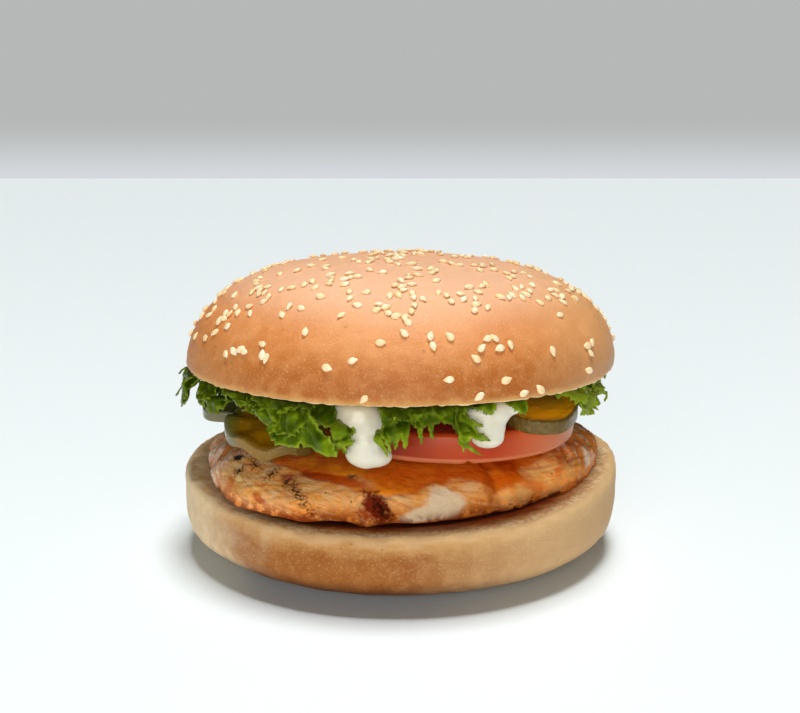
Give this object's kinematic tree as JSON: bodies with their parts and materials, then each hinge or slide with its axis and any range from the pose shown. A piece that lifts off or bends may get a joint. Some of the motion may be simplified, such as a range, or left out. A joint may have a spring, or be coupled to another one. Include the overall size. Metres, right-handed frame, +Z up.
{
  "type": "chicken burger",
  "caption": "Round burger: seeded bun crown and heel around a grilled chicken fillet, tomato, pickles, frilly lettuce and dripping mayonnaise.",
  "frame": {"origin": "middle of the heel's flat base, on the surface the burger stands on", "axes": "+Z up through the stack, -Y towards the front where the fillings show, +X to the right"},
  "size_m": [0.1198, 0.1196, 0.0787],
  "materials": {
    "bun": "matt baked crust",
    "chicken": "moist, grilled",
    "tomato": "wet gloss",
    "pickle": "wet gloss",
    "lettuce": "soft sheen",
    "mayonnaise": "smooth gloss"
  },
  "bodies": {
    "root": {"bun_heel": "bun", "bun_crown": "bun", "chicken_fillet": "chicken", "tomato_slice": "tomato", "pickle_right": "pickle", "pickle_left": "pickle", "pickle_far_left": "pickle", "lettuce_left": "lettuce", "lettuce_front": "lettuce", "lettuce_right": "lettuce", "mayonnaise": "mayonnaise"}
  },
  "joints": []
}
